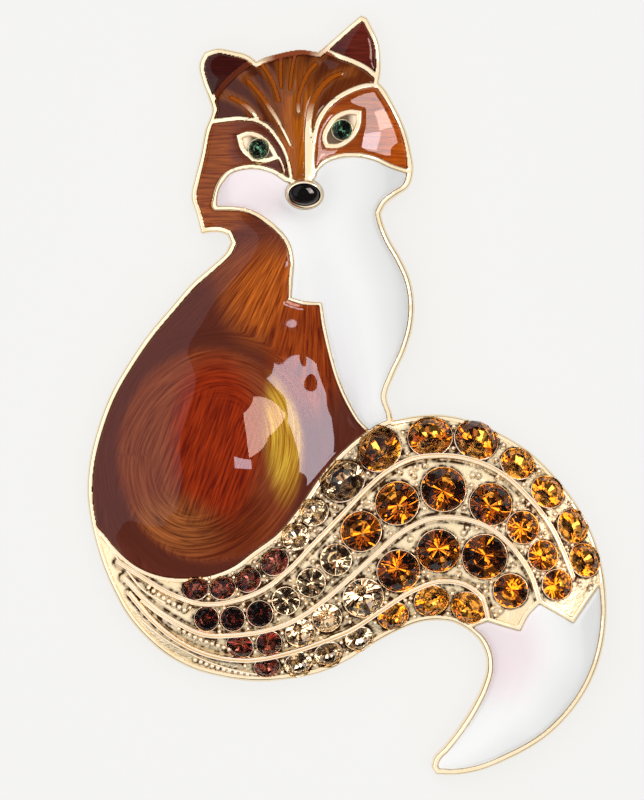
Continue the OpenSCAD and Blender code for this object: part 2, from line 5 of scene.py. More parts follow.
import bmesh
import bpy
import numpy as np
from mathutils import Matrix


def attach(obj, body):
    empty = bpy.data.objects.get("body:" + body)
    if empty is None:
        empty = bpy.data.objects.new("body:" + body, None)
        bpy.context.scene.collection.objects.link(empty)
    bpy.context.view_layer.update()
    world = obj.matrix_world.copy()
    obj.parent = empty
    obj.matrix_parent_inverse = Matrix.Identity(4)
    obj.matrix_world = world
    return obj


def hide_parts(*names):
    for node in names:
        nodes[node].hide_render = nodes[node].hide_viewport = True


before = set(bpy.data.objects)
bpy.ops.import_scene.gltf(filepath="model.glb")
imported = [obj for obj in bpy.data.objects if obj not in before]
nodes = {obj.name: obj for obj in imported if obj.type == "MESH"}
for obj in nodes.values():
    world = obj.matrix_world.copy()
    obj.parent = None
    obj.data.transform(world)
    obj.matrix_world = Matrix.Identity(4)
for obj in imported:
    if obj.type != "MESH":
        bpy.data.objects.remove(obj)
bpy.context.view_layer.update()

# The front of the casting. A die-cast zinc alloy shell, tumbled, polished and plated with pale
# gold. Its rims and lines stand a little above the enamel, with rounded, bright edges, and its
# front follows one relief of haunch, neck, head, muzzle, chest, ears and tail.
MM = 0.001
EDGE_HEIGHT = 3.2
RIM_WIDTH = 0.45
TAIL_LINE_WIDTH = 0.42
LINE_LIFT = 0.13
LINE_ROUNDING = 0.14
OUTER_ROUNDING = 0.22
OUTER_DROP = 0.2
LINE_DEPTH = 0.95
LEAST_METAL = 0.25
UNDER_BED = 0.12
ENAMEL_GAP = 0.03
TAIL_TOP = -1.2
CORNER = math.radians(38)
# A unit of the drawing in millimetres, and the drawing's middle
UNIT = np.array([42.4 / 520, 62 / 760])
MIDDLE = np.array([347, 395])
ENAMELS = ["left_ear_enamel", "right_ear_enamel", "forehead_enamel", "cheek_enamel",
           "body_enamel", "white_front", "white_tip"]

# Each form: its rise, then along its spine the place on the drawing, half width and share of rise
RELIEF = [
    (3.6, [(204, 440, 97, 1), (210, 468, 95, 1)]),
    (2.2, [(270, 262, 62, 0.95), (240, 325, 92, 1), (215, 400, 122, 1), (206, 465, 133, 1)]),
    (2.5, [(268, 138, 82, 1), (338, 130, 84, 1)]),
    (3.1, [(248, 192, 42, 0.7), (300, 178, 52, 1), (352, 186, 58, 0.75)]),
    (3.1, [(298, 90, 30, 0.75), (304, 190, 34, 1.05)]),
    (2.3, [(335, 235, 66, 1), (362, 300, 60, 1), (372, 350, 50, 0.9), (378, 410, 30, 0.7)]),
    (0.9, [(236, 82, 44, 1), (214, 64, 26, 1)]),
    (0.9, [(352, 66, 40, 1), (362, 36, 24, 1)]),
    (3.0, [(110, 562, 18, 0.3), (140, 592, 32, 0.5), (178, 616, 44, 0.7), (258, 618, 66, 0.9),
           (354, 565, 84, 1), (440, 518, 105, 1), (498, 545, 96, 1), (530, 588, 82, 0.95),
           (546, 650, 63, 0.8), (520, 708, 48, 0.6), (478, 746, 28, 0.35), (448, 764, 14, 0.2)]),
]


def place(x, y):
    """A point of the drawing, in millimetres on the brooch."""
    return (x - MIDDLE[0]) * UNIT[0], (MIDDLE[1] - y) * UNIT[1]


def drawn(x, y):
    """A point of the brooch, on the drawing."""
    return x / UNIT[0] + MIDDLE[0], MIDDLE[1] - y / UNIT[1]


def forms(x, y):
    """Height of the forms of the front over points of the brooch, as they were modelled."""
    px, py = drawn(x, y)
    total = np.zeros_like(px, dtype=float)
    for rise, spine in RELIEF:
        best = np.zeros_like(total)
        for a, b in zip(spine, spine[1:]):
            dx, dy = b[0] - a[0], b[1] - a[1]
            t = np.clip(((px - a[0]) * dx + (py - a[1]) * dy) / (dx * dx + dy * dy), 0, 1)
            q = np.hypot(px - a[0] - dx * t, py - a[1] - dy * t) / (a[2] + (b[2] - a[2]) * t)
            best = np.maximum(best, (a[3] + (b[3] - a[3]) * t) * (1 - np.minimum(q, 1) ** 2))
        total += (rise * best) ** 4
    return EDGE_HEIGHT + total ** 0.25


def softened(heights, step, reach):
    """Heights on a grid, evened out as the forms were by polishing."""
    away = np.arange(-int(3 * reach / step), int(3 * reach / step) + 1)
    weight = np.exp(-0.5 * (away * step / reach) ** 2)
    for _ in range(2):
        padded = np.pad(heights, [(len(away) // 2, len(away) // 2), (0, 0)], "edge")
        heights = sum(w * padded[k:k + len(heights)] for k, w in enumerate(weight)).T / weight.sum()
    return heights


def between(values, low, step, x, y):
    """Values of a grid at any points between those of the grid."""
    ny, nx = values.shape
    u = np.clip((np.asarray(x, dtype=float) - low[0]) / step, 0, nx - 1.001)
    v = np.clip((np.asarray(y, dtype=float) - low[1]) / step, 0, ny - 1.001)
    i, j = u.astype(int), v.astype(int)
    f, g = u - i, v - j
    return ((values[j, i] * (1 - f) + values[j, i + 1] * f) * (1 - g)
            + (values[j + 1, i] * (1 - f) + values[j + 1, i + 1] * f) * g)


FRONT_LOW, FRONT_HIGH, FRONT_STEP, EVENED = (-24, -34), (24, 34), 0.1, 0.8
front = forms(*np.meshgrid(*[np.arange(low, high, FRONT_STEP)
                             for low, high in zip(FRONT_LOW, FRONT_HIGH)]))
front = softened(front, FRONT_STEP, EVENED)


def relief(x, y):
    """Height of the front over points of the brooch."""
    return between(front, FRONT_LOW, FRONT_STEP, x, y)


def face_loops(name, chosen):
    """Outlines, seen from above, of those faces of a node that chosen() picks."""
    shape = bmesh.new()
    shape.from_mesh(nodes[name].data)
    bmesh.ops.remove_doubles(shape, verts=shape.verts, dist=2e-6)
    following = {}
    for face in shape.faces:
        if chosen(face):
            for corner in face.loops:
                others = [f for f in corner.edge.link_faces if f is not face]
                if not others or not chosen(others[0]):
                    following[corner.vert] = corner.link_loop_next.vert
    loops = []
    while following:
        start, point = following.popitem()
        loop = [start]
        while point in following:
            loop.append(point)
            point = following.pop(point)
        loops.append(np.array([(v.co.x / MM, v.co.y / MM) for v in loop]))
    shape.free()
    return loops


def turns(points):
    """Each side of a loop, and how far it turns at each point."""
    side = np.roll(points, -1, axis=0) - points
    before = np.roll(side, 1, axis=0)
    cross = before[:, 0] * side[:, 1] - before[:, 1] * side[:, 0]
    return side, np.arctan2(cross, (before * side).sum(axis=1))


def without_extras(loop, shortest=0.05, least_turn=math.radians(0.7)):
    """The loop without points that lie on a straight side or on top of each other."""
    for _ in range(4):
        side, _turn = turns(loop)
        loop = loop[np.hypot(*side.T) > shortest]
        _side, turn = turns(loop)
        loop = loop[abs(turn) > least_turn]
    return loop


def curve(points, closed=True, spacing=0.1):
    """A smooth run through the points that keeps their corners."""
    points = np.asarray(points, dtype=float)[:, :2]
    side, turn = turns(points)
    length = np.hypot(*side.T)
    along = side / length[:, None]
    before, shorter = np.roll(along, 1, axis=0), np.roll(length, 1)
    through = before * length[:, None] + along * shorter[:, None]
    through /= np.hypot(*through.T)[:, None]
    corner = abs(turn) > CORNER
    if not closed:
        corner[[0, -1]] = True
    leaving = np.where(corner[:, None], along, through)
    arriving = np.roll(np.where(corner[:, None], before, through), -1, axis=0)
    run = []
    for i in range(len(points) if closed else len(points) - 1):
        steps = max(1, math.ceil(length[i] / spacing))
        t = (np.arange(steps) / steps)[:, None]
        a, b = points[i], points[(i + 1) % len(points)]
        run.append(a * (2 * t**3 - 3 * t**2 + 1) + leaving[i] * length[i] * (t**3 - 2 * t**2 + t)
                   + b * (3 * t**2 - 2 * t**3) + arriving[i] * length[i] * (t**3 - t**2))
    if not closed:
        run.append(points[-1:])
    return np.concatenate(run)


class Field:
    """Signed distance to some loops on a grid, positive inside, true within its reach."""
    longest_side = 0.3

    def __init__(self, loops, step, reach, low, high):
        self.step, self.low = step, np.array(low, dtype=float)
        nx, ny = (int(math.ceil((high[k] - low[k]) / step)) + 1 for k in (0, 1))
        a = np.concatenate(loops)
        b = np.concatenate([np.roll(loop, -1, axis=0) for loop in loops])
        k = int(reach / step) + 2
        window = np.arange(-k, k + 1)
        centre = np.rint(((a + b) / 2 - self.low) / step).astype(int)
        columns = centre[:, 0, None, None] + window[None, None, :] + 0 * window[None, :, None]
        rows = centre[:, 1, None, None] + window[None, :, None] + 0 * window[None, None, :]
        side = (b - a)[:, None, None, :]
        off = np.stack([columns * step + low[0], rows * step + low[1]], -1) - a[:, None, None, :]
        t = np.clip((off * side).sum(-1) / np.maximum((side * side).sum(-1), 1e-12), 0, 1)
        apart = np.hypot(*np.moveaxis(off - side * t[..., None], -1, 0))
        kept = (columns >= 0) & (columns < nx) & (rows >= 0) & (rows < ny)
        self.value = np.full((ny, nx), float(reach))
        np.minimum.at(self.value, (rows[kept], columns[kept]), apart[kept])
        flips = np.zeros((ny, nx + 1), dtype=int)
        lower, upper = np.where(a[:, 1:] < b[:, 1:], a, b), np.where(a[:, 1:] < b[:, 1:], b, a)
        first = np.ceil((lower[:, 1] - low[1]) / step).astype(int)
        for more in range(int(self.longest_side / step) + 3):
            row = first + more
            height = row * step + low[1]
            met = (height < upper[:, 1]) & (row >= 0) & (row < ny)
            share = (height[met] - lower[met, 1]) / (upper[met, 1] - lower[met, 1])
            across = lower[met, 0] + (upper[met, 0] - lower[met, 0]) * share
            column = np.clip(np.ceil((across - low[0]) / step).astype(int), 0, nx)
            np.add.at(flips, (row[met], column), 1)
        inside = np.cumsum(flips, axis=1)[:, :nx] % 2 == 1
        self.value = np.where(inside, self.value, -self.value)
        self.x, self.y = np.meshgrid(np.arange(nx) * step + low[0], np.arange(ny) * step + low[1])

    def at(self, x, y):
        """The distance at any points, between those of the grid."""
        return between(self.value, self.low, self.step, x, y)


def cut_grid(field, value, levels=(), pull=0.36):
    """Points and triangles of the grid where value is positive, cut clean along its edge. Grid
    points within pull of a step from it, or from a level of another value, move onto it."""
    step = field.step
    x, y, value = field.x.copy(), field.y.copy(), value.copy()
    for other, level in list(levels) + [(value, 0)]:
        gy, gx = np.gradient(other, step)
        steep = gx**2 + gy**2
        near = (abs(other - level) < pull * step) & (steep > 0.5)
        shift = (other[near] - level) / steep[near]
        x[near] -= shift * gx[near]
        y[near] -= shift * gy[near]
        if other is value:
            value = np.where(near, 0, value)
    ny, nx = value.shape
    corner = (np.arange(ny - 1)[:, None] * nx + np.arange(nx - 1)[None, :]).ravel()
    triangles = np.concatenate([np.stack([corner, corner + 1, corner + nx + 1], 1),
                                np.stack([corner, corner + nx + 1, corner + nx], 1)])
    flat = value.ravel()
    kept = flat >= 0
    count = kept[triangles].sum(axis=1)
    points = np.stack([x.ravel(), y.ravel()], 1)
    made = [triangles[count == 3]]
    pairs = []

    def turned(chosen, first):
        start = np.argmax(first[chosen], axis=1)
        return np.stack([chosen[np.arange(len(chosen)), (start + k) % 3] for k in range(3)], 1)

    one = turned(triangles[count == 1], kept)
    two = turned(triangles[count == 2], ~kept)
    for group in (one, two):
        for other in (1, 2):
            pairs.append(np.sort(group[:, [0, other]], axis=1))
    key = np.concatenate([p[:, 0] * (nx * ny) + p[:, 1] for p in pairs])
    edges, number = np.unique(key, return_inverse=True)
    a, b = edges // (nx * ny), edges % (nx * ny)
    share = (flat[a] / (flat[a] - flat[b]))[:, None]
    points = np.concatenate([points, points[a] + (points[b] - points[a]) * share])
    number = number + nx * ny
    ends = np.cumsum([len(p) for p in pairs])
    c1, c2, d1, d2 = np.split(number, ends[:-1])
    made.append(np.stack([one[:, 0], c1, c2], 1))
    made.append(np.stack([d1, two[:, 1], two[:, 2]], 1))
    made.append(np.stack([d1, two[:, 2], d2], 1))
    triangles = np.concatenate(made)
    _, first, same = np.unique(np.round(points, 5), axis=0, return_index=True, return_inverse=True)
    points, triangles = points[first], same.reshape(-1)[triangles]
    p = points[triangles]
    u, v = p[:, 1] - p[:, 0], p[:, 2] - p[:, 0]
    triangles = triangles[u[:, 0] * v[:, 1] - u[:, 1] * v[:, 0] > 1e-8]
    used, same = np.unique(triangles, return_inverse=True)
    return points[used], same.reshape(-1, 3)


def slab(points, triangles, top, bottom):
    """A closed body over some triangles, between two heights."""
    n = len(points)
    sides = np.concatenate([triangles[:, [0, 1]], triangles[:, [1, 2]], triangles[:, [2, 0]]])
    key, back = sides[:, 0] * n + sides[:, 1], sides[:, 1] * n + sides[:, 0]
    a, b = sides[~np.isin(key, back)].T
    corners = np.concatenate([np.column_stack([points, top]), np.column_stack([points, bottom])])
    return corners, np.concatenate([triangles, triangles[:, ::-1] + n,
                                    np.stack([a, a + n, b + n], 1), np.stack([a, b + n, b], 1)])


def add_piece(name, points, triangles, material, replaces, sharp=50, values=None):
    """A piece of the brooch from points in millimetres and triangles, smooth below an angle."""
    mesh = bpy.data.meshes.new(name)
    mesh.vertices.add(len(points))
    mesh.vertices.foreach_set("co", (np.asarray(points) * MM).ravel())
    mesh.loops.add(3 * len(triangles))
    mesh.loops.foreach_set("vertex_index", np.asarray(triangles).ravel())
    mesh.polygons.add(len(triangles))
    mesh.polygons.foreach_set("loop_start", np.arange(len(triangles)) * 3)
    mesh.update(calc_edges=True)
    mesh.validate()
    for key, value in (values or {}).items():
        kind = "FLOAT" if value.ndim == 1 else "FLOAT_VECTOR"
        layer = mesh.attributes.new(key, kind, "POINT")
        layer.data.foreach_set("value" if kind == "FLOAT" else "vector", value.ravel())
    mesh.shade_smooth()
    if sharp < 180:
        mesh.set_sharp_from_angle(angle=math.radians(sharp))
    piece = bpy.data.objects.new(name, mesh)
    bpy.context.scene.collection.objects.link(piece)
    for m in material if isinstance(material, list) else [material]:
        mesh.materials.append(m)
    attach(piece, "root")
    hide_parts(*replaces)
    return piece


def colour(text):
    """The linear colour of an sRGB hex value."""
    parts = [int(text[i:i + 2], 16) / 255 for i in (1, 3, 5)]
    parts = [c / 12.92 if c < 0.04045 else ((c + 0.055) / 1.055) ** 2.4 for c in parts]
    return np.array(parts + [1])


def add(tree, kind, inputs=None, **settings):
    """A node with its settings, and each of its inputs set or linked. A Mix node takes its share
    at 0 and its colours at 6 and 7, and gives its colour at 2."""
    made = tree.nodes.new("ShaderNode" + kind)
    for key, value in settings.items():
        setattr(made, key, value)
    for key, value in (inputs or {}).items():
        if isinstance(value, bpy.types.NodeSocket):
            tree.links.new(value, made.inputs[key])
        else:
            made.inputs[key].default_value = value
    return made


def new_material(name):
    """An empty material and its nodes."""
    made = bpy.data.materials.new(name)
    made.use_nodes = True
    made.node_tree.nodes.clear()
    return made, made.node_tree


def surface(tree, inputs):
    """The material's surface, with these inputs."""
    shader = add(tree, "BsdfPrincipled", inputs)
    add(tree, "OutputMaterial", {"Surface": shader.outputs[0]})


def uneven(tree, per_mm, tones, detail=2):
    """A tone that wanders between two, so many times per millimetre, and its noise."""
    noise = add(tree, "TexNoise", {"Vector": add(tree, "TexCoord").outputs["Object"],
                                   "Scale": per_mm / MM, "Detail": detail}).outputs["Fac"]
    tone = add(tree, "Mix", {0: noise, 6: tones[0], 7: tones[1]}, data_type="RGBA")
    return tone.outputs[2], noise


# Gold plate over a polished casting: pale, bright and smooth, with the faint unevenness of
# tumbling. It wears in patches of 1.1 mm, and its lumps of 0.4 to 2 mm are coarser than the real
# ones so that they show. Its crevices get painted shade, dark in patches of half a millimetre.
WORN_PER_MM, SHADE_PATCHES_PER_MM = 0.9, 1.9


def gold_plate(name, tones, roughness, lumps_per_mm, depth, veil=False, painted_crevice_shade=False):
    """Gold plate, its lumps of a depth in millimetres. A veil is enamel thinly over its lines."""
    made, tree = new_material(name)
    tint, worn = uneven(tree, WORN_PER_MM, [colour(t) for t in tones], 3)
    rough = add(tree, "MapRange", {"Value": worn, "To Min": roughness * 0.6,
                                   "To Max": roughness * 1.5})
    metallic = 1
    if veil:
        share = add(tree, "Attribute", attribute_name="veil").outputs["Fac"]
        over = add(tree, "Attribute", attribute_name="veil_tone").outputs["Color"]
        tint = add(tree, "Mix", {0: share, 6: tint, 7: over}, data_type="RGBA").outputs[2]
        metallic = add(tree, "MapRange", {"Value": share, "To Min": 1, "To Max": 0}).outputs[0]
    place_in = add(tree, "TexCoord").outputs["Object"]
    # Painted shade in the crevices: a dark brown mixed into the tone, in patches.
    if painted_crevice_shade:
        painted_shade_amount = add(tree, "Attribute", attribute_name="painted_crevice_shade").outputs["Fac"]
        patches = add(tree, "TexNoise", {"Vector": place_in, "Scale": SHADE_PATCHES_PER_MM / MM,
                                         "Detail": 2})
        patchy = add(tree, "MapRange", {"Value": patches.outputs["Fac"], "From Min": 0.4,
                                        "From Max": 0.6, "To Min": 0.45, "To Max": 1.4})
        share = add(tree, "Math", {0: painted_shade_amount, 1: patchy.outputs[0]}, operation="MULTIPLY",
                    use_clamp=True).outputs[0]
        tint = add(tree, "Mix", {0: share, 6: tint, 7: colour("#341e0e")},
                   data_type="RGBA").outputs[2]
    lumps = add(tree, "TexNoise", {"Vector": place_in, "Scale": lumps_per_mm / MM,
                                   "Detail": 4, "Roughness": 0.6}).outputs["Fac"]
    bump = add(tree, "Bump", {"Height": lumps, "Strength": 1, "Distance": depth * MM})
    surface(tree, {"Base Color": tint, "Metallic": metallic, "Roughness": rough.outputs[0],
                   "Specular IOR Level": 0, "Normal": bump.outputs[0]})
    return made


polished_gold = gold_plate("polished_gold_plate", ("#faead0", "#f2daae"), 0.12, 0.5, 0.01,
                           veil=True)
foot_loops = face_loops("casting", lambda f: f.normal.z < -0.99 and f.calc_center_median().z < 1e-5)
outline = max(foot_loops, key=lambda loop: np.hypot(*turns(loop)[0].T).sum())
outline = curve(without_extras(outline)[::-1])
cells = {}
for name in ENAMELS:
    tops = face_loops(name, lambda f: f.normal.z > 0.05)
    cells[name] = [curve(without_extras(loop)) for loop in tops if len(loop) > 3]
all_cells = [loop for name in ENAMELS for loop in cells[name]]


# Shares of a stone's diameter: half its table, its crown and its pavilion
TABLE_HALF, CROWN, PAVILION = 0.27, 0.17, 0.43


def stone_frame(name):
    """Centre of the girdle, axis and diameter of a cut stone, from its table."""
    data = nodes[name].data
    facing = {}
    for face in data.polygons:
        facing.setdefault(tuple(round(c, 3) for c in face.normal), []).append(face)
    table = max(facing.values(), key=lambda faces: sum(f.area for f in faces))
    corners = np.array([data.vertices[i].co / MM for f in table for i in f.vertices])
    corners = np.unique(np.round(corners, 5), axis=0)
    middle, axis = corners.mean(axis=0), np.array(table[0].normal)
    size = np.linalg.norm(corners - middle, axis=1).max() / TABLE_HALF
    return middle - axis * CROWN * size, axis, size


STONES = {name: stone_frame(name) for name in nodes
          if name.startswith(("garnet", "champagne", "topaz")) or name.endswith("eye_stone")}


# A seat is a cone, a little wider than its stone, with a step at its edge
SEAT_EDGE, SEAT_STEP, SEAT_SLOPE = 0.05, 0.3, 0.9


def seat_depth(x, y):
    """How far the seats of the stones go down below the front."""
    z = relief(x, y)
    depth = np.zeros_like(z)
    for centre, axis, size in STONES.values():
        off = np.stack([x - centre[0], y - centre[1], z - centre[2]], -1)
        close = (off[..., 0] ** 2 + off[..., 1] ** 2) < size**2
        part = off[close]
        across = np.linalg.norm(part - (part @ axis)[:, None] * axis, axis=1)
        depth[close] = np.maximum(depth[close], np.where(
            across < size / 2 + SEAT_EDGE, SEAT_STEP + SEAT_SLOPE * (size / 2 - across), 0))
    return depth


def rounded(distance, radius):
    """A quarter round: 0 at an edge and 1 from its radius on."""
    return np.sqrt(1 - (1 - np.clip(distance / radius, 0, 1)) ** 2)


def front_fields(step, low, high):
    """How far points lie inside the outline, and inside the nearest cell of enamel."""
    return Field([outline], step, 1.4, low, high), Field(all_cells, step, 0.75, low, high)


LOW, HIGH = (-21.6, -31.4), (21.6, 31.4)
EYES = [STONES["left_eye_stone"][0], STONES["right_eye_stone"][0]]
EYE_REACH, EYE_RING, RING_HEIGHT, RING_ROUNDING, EYE_FLOOR = 2.6, 0.42, 0.2, 0.11, -0.32
RING_END = EYE_RING + ENAMEL_GAP
rim, enamel = front_fields(0.07, LOW, HIGH)
on_metal = np.minimum(rim.value, -enamel.value - ENAMEL_GAP)
bed = np.where(rim.y < TAIL_TOP,
               np.minimum(rim.value - RIM_WIDTH, -enamel.value - TAIL_LINE_WIDTH), -1)
points, triangles = cut_grid(rim, np.minimum(on_metal, UNDER_BED - bed), [(on_metal, EYE_RING)])
x, y = points.T
to_rim, to_enamel = rim.at(x, y), -enamel.at(x, y) - ENAMEL_GAP
to_bed = np.where(y < TAIL_TOP, -np.minimum(to_rim - RIM_WIDTH, to_enamel - TAIL_LINE_WIDTH), 1)
edge = np.minimum(to_rim, to_enamel)
crown = LINE_LIFT * rounded(np.minimum(edge, to_bed), LINE_ROUNDING)
near_eye = np.min([np.hypot(x - e[0], y - e[1]) for e in EYES], axis=0) < EYE_REACH
ring = RING_HEIGHT * rounded(edge, RING_ROUNDING) * rounded(
    np.clip(RING_END - edge, 0, 1), RING_ROUNDING)
crown = np.where(near_eye, np.where(edge < RING_END, ring, EYE_FLOOR), crown)

# Enamel runs over the upper ends of the forehead's stripes, the line of the left ear and the rim
# over the brow, at these places of the drawing
px, py = drawn(x, y)
stripes = (np.hypot((px - 285) / 66, (py - 84) / 42) < 1) & (px + 0.7 * (py - 84) < 336)
stripes &= ~((py > 114) & (px < 262)) & (to_rim > RIM_WIDTH)
veil = np.where(stripes, np.clip((134 - py) / 30, 0, 1), 0)
crown *= 1 - 0.8 * veil
veil_tone = np.zeros((len(x), 3)) + colour("#7c3c0c")[:3]
ear = Field(cells["left_ear_enamel"], 0.1, 0.8, (-13, 24), (-5, 31)).at(x, y)
ear_line = (ear > -0.75) & (to_rim > RIM_WIDTH + 0.1) & (x < -6) & (y > 24)
veil[ear_line] = 1
veil_tone[ear_line] = colour("#4a2014")[:3]
brow = (py < 62) & (abs(px - 292) < 44) & (to_rim > 0.05)
veil = np.maximum(veil, np.where(brow, np.clip(1.6 - abs(px - 292) / 28, 0, 1), 0))
veil_tone[brow] = colour("#6e3620")[:3]

# The floor round each eye's stone is brown, with a pale painted reflection towards the outer corner
FLOOR_BROWN, FLOOR_PAINTED_REFLECTION = colour("#4a382c")[:3], colour("#ecdcc8")[:3]
for (eye_x, eye_y), outwards in (((259, 150), -1), ((342, 131), 1)):
    floor = (np.hypot(px - eye_x, py - eye_y) < 30) & (edge > RING_END)
    # The pale share is the painted reflection.
    pale = np.clip(((px[floor] - eye_x) * outwards - 6) / 7, 0, 1)[:, None]
    veil[floor] = 0.93
    veil_tone[floor] = FLOOR_PAINTED_REFLECTION * pale + FLOOR_BROWN * (1 - pale)
height = relief(x, y) + crown - OUTER_DROP * (1 - rounded(to_rim, OUTER_ROUNDING))
height = np.where(to_bed < 0, relief(x, y) - UNDER_BED, height) - seat_depth(x, y)
foot = np.minimum(relief(x, y) - LINE_DEPTH, height - LEAST_METAL)
rims = slab(points, triangles, height, np.where(to_rim < RIM_WIDTH, 0.01, foot))
add_piece("rims_and_lines", *rims, polished_gold, ["casting"],
          values={"veil": np.tile(veil, 2), "veil_tone": np.tile(veil_tone, (2, 1))})

# The bed of the tail, part of the same casting. Each seat was milled out for its stone, and the
# metal round the stones, the ridges and the grains is painted dark, as painted shade in the
# crevices.
RIDGES = [
    [(118, 562), (141, 577), (172, 595), (205, 604.5), (235, 601), (262, 591), (288, 571.5),
     (314, 545), (342, 516.5), (365, 492), (387, 473), (410, 460.5), (440, 456.5), (472, 461),
     (502, 475.5), (528, 499), (548, 525), (563, 556), (571, 577)],
    [(124, 577), (148, 601), (178, 621.5), (206, 633), (235, 633.5), (266, 629), (292, 620),
     (320, 602), (348, 578.5), (374, 555), (402, 531.5), (430, 518.5), (460, 518), (490, 528.5),
     (514, 550), (531, 577), (538, 599)],
    [(130, 592), (150, 615), (176, 637), (210, 653), (248, 658), (284, 652), (320, 640.5),
     (352, 627), (382, 607.5), (412, 589), (442, 579.5), (466, 583.5), (482, 596), (489, 617)],
]
ROOT_RAILS = [
    [(113, 552), (128, 572), (144, 590), (166, 603)], [(141, 600), (158, 613), (178, 626)],
    [(141, 619), (165, 638), (195, 655), (225, 667), (257, 674)],
    [(183, 645), (205, 654), (230, 659)],
]
BEAD_ROWS = [[(146, 585), (163, 597), (186, 610)], [(176, 626), (200, 638), (230, 648)],
             [(192, 658), (218, 667), (250, 674)]]
LOOSE_GRAINS = [(537, 467), (523, 485), (571, 502), (554, 514), (472, 475), (410, 538), (463, 532),
                (411, 472), (369, 502), (424, 508), (497, 445), (533, 570), (590, 588), (500, 610),
                (478, 585), (452, 592)]


def on_plan(route, spacing=0.2):
    """A smooth line over the brooch, seen from above, through points of the drawing."""
    return curve(np.array(place(*np.array(route, dtype=float).T)).T, False, spacing)


def clear_of_stones(at, least):
    """Whether a point is at least so far from every stone."""
    return all(np.linalg.norm(at - c) > s / 2 + least for c, _, s in STONES.values())


def off_line(x, y, line):
    """How far points are from a line, all seen from above."""
    return np.min([np.hypot(x - a[0], y - a[1]) for a in line], axis=0)


def upright(at):
    """The point of the front over a point of the brooch."""
    return np.array([at[0], at[1], relief(at[0], at[1])])


# Every raised grain: where it stands, its radius and its height. Two prongs stand between each
# pair of neighbouring stones where there is room.
BEAD, LOOSE_GRAIN, PRONG = (0.21, 0.24), (0.22, 0.3), (0.2, 0.4)
BEAD_SPACING, NEIGHBOURS = 0.5, 0.72
grains = []
for route in BEAD_ROWS:
    line = on_plan(route, 0.1)
    run = np.concatenate([[0], np.cumsum(np.hypot(*np.diff(line, axis=0).T))])
    for at in np.arange(0.2, run[-1], BEAD_SPACING):
        grains.append((upright(line[np.searchsorted(run, at)]), *BEAD))
for a in np.array(place(*np.array(LOOSE_GRAINS, dtype=float).T)).T:
    if clear_of_stones(upright(a), 0.1):
        grains.append((upright(a), *LOOSE_GRAIN))
ridge_line = np.concatenate([on_plan(route, 0.1) for route in RIDGES])
tail_stones = [s for name, s in STONES.items() if not name.endswith("eye_stone")]
for i, (a, axis_a, size_a) in enumerate(tail_stones):
    for b, _, size_b in tail_stones[i + 1:]:
        apart = np.linalg.norm(b - a)
        if apart > (size_a + size_b) * NEIGHBOURS:
            continue
        along = (b - a) / apart
        middle = a + along * (apart + (size_a - size_b) / 2) / 2
        across = np.cross(axis_a, along)
        for sign in (-1, 1):
            for reach in (0.28, 0.5):
                at = upright(middle + across * sign * min(size_a, size_b) * reach)
                crowded = any(np.linalg.norm(at - g[0]) < 0.4 for g in grains)
                if (clear_of_stones(at, -0.06) and off_line(*at[:2], ridge_line) > 0.34
                        and rim.at(*at[:2]) > 0.75 and not crowded):
                    grains.append((at, *PRONG))


cast_gold = gold_plate("cast_gold_plate", ("#f9e8ca", "#e8cd9c"), 0.2, 2.6, 0.08, painted_crevice_shade=True)
BED_DEPTH, BED_METAL = 0.9, 0.2
wide_rim, wide_enamel = front_fields(0.11, LOW, (HIGH[0], TAIL_TOP + 0.3))
bed = np.minimum(np.minimum(wide_rim.value - RIM_WIDTH, -wide_enamel.value - TAIL_LINE_WIDTH),
                 TAIL_TOP - wide_rim.y)
points, triangles = cut_grid(wide_rim, bed + UNDER_BED / 2)
x, y = points.T
height = relief(x, y) - seat_depth(x, y)
bed_slab = slab(points, triangles, height, np.minimum(relief(x, y) - BED_DEPTH, height - BED_METAL))

# Painted shade round each stone, wide where the stones crowd and narrow further out, along both
# sides of each ridge and round the grains
dark = np.zeros(len(x))
shade_reach = np.interp(drawn(x, y)[0], (390, 470), (0.26, 0.13))
for centre, axis, size in STONES.values():
    away = np.hypot(*(points - centre[:2]).T) - size / 2
    near_shade = np.exp(-(np.maximum(away - 0.06, 0) / shade_reach) ** 2)
    dark = np.maximum(dark, np.where(away < size / 2, near_shade, 0))
for route in RIDGES:
    away = off_line(x, y, on_plan(route))
    dark = np.maximum(dark, np.exp(-((away - 0.36) / 0.14) ** 2))
for at, radius, _ in grains:
    away = np.hypot(x - at[0], y - at[1])
    dark = np.maximum(dark, 0.95 * np.exp(-((away - radius - 0.05) / 0.06) ** 2))
add_piece("tail_bed", *bed_slab, cast_gold, ["casting"], values={"painted_crevice_shade": np.tile(dark, 2)})

# The hollow back and the skirt of the casting, as cast: a plate of even thickness behind the
# front, inside a skirt that the brooch lies on. It was plated with the front but not polished, so
# it is duller and grainy.
FRONT_METAL, PLATE_DEPTH, LEAST_PLATE = 0.66, 2.1, 0.12
SKIRT_INSET, SKIRT = 0.2, 1.1


def under_front(x, y):
    """Height of the back of the front's metal, below its cells and seats."""
    return relief(x, y) - np.maximum(seat_depth(x, y) + 0.02, FRONT_METAL)


def joined(*shapes):
    """Several bodies as one set of points and triangles."""
    points, triangles, start = [], [], 0
    for p, t in shapes:
        points.append(p)
        triangles.append(t + start)
        start += len(p)
    return np.concatenate(points), np.concatenate(triangles)


coarse = Field([outline], 0.3, 2, LOW, HIGH)
points, triangles = cut_grid(coarse, coarse.value - SKIRT_INSET)
top = under_front(*points.T)
hollow = np.minimum(relief(*points.T) - PLATE_DEPTH, top - LEAST_PLATE)
plate = slab(points, triangles, top, hollow)
points, triangles = cut_grid(coarse, np.minimum(coarse.value - SKIRT_INSET, SKIRT - coarse.value))
skirt = slab(points, triangles, under_front(*points.T), np.zeros(len(points)))
back_gold = gold_plate("unpolished_gold_plate", ("#dcc190", "#b99a62"), 0.28, 1.5, 0.08)
add_piece("hollow_back", *joined(plate, skirt), back_gold, ["casting"], sharp=35)


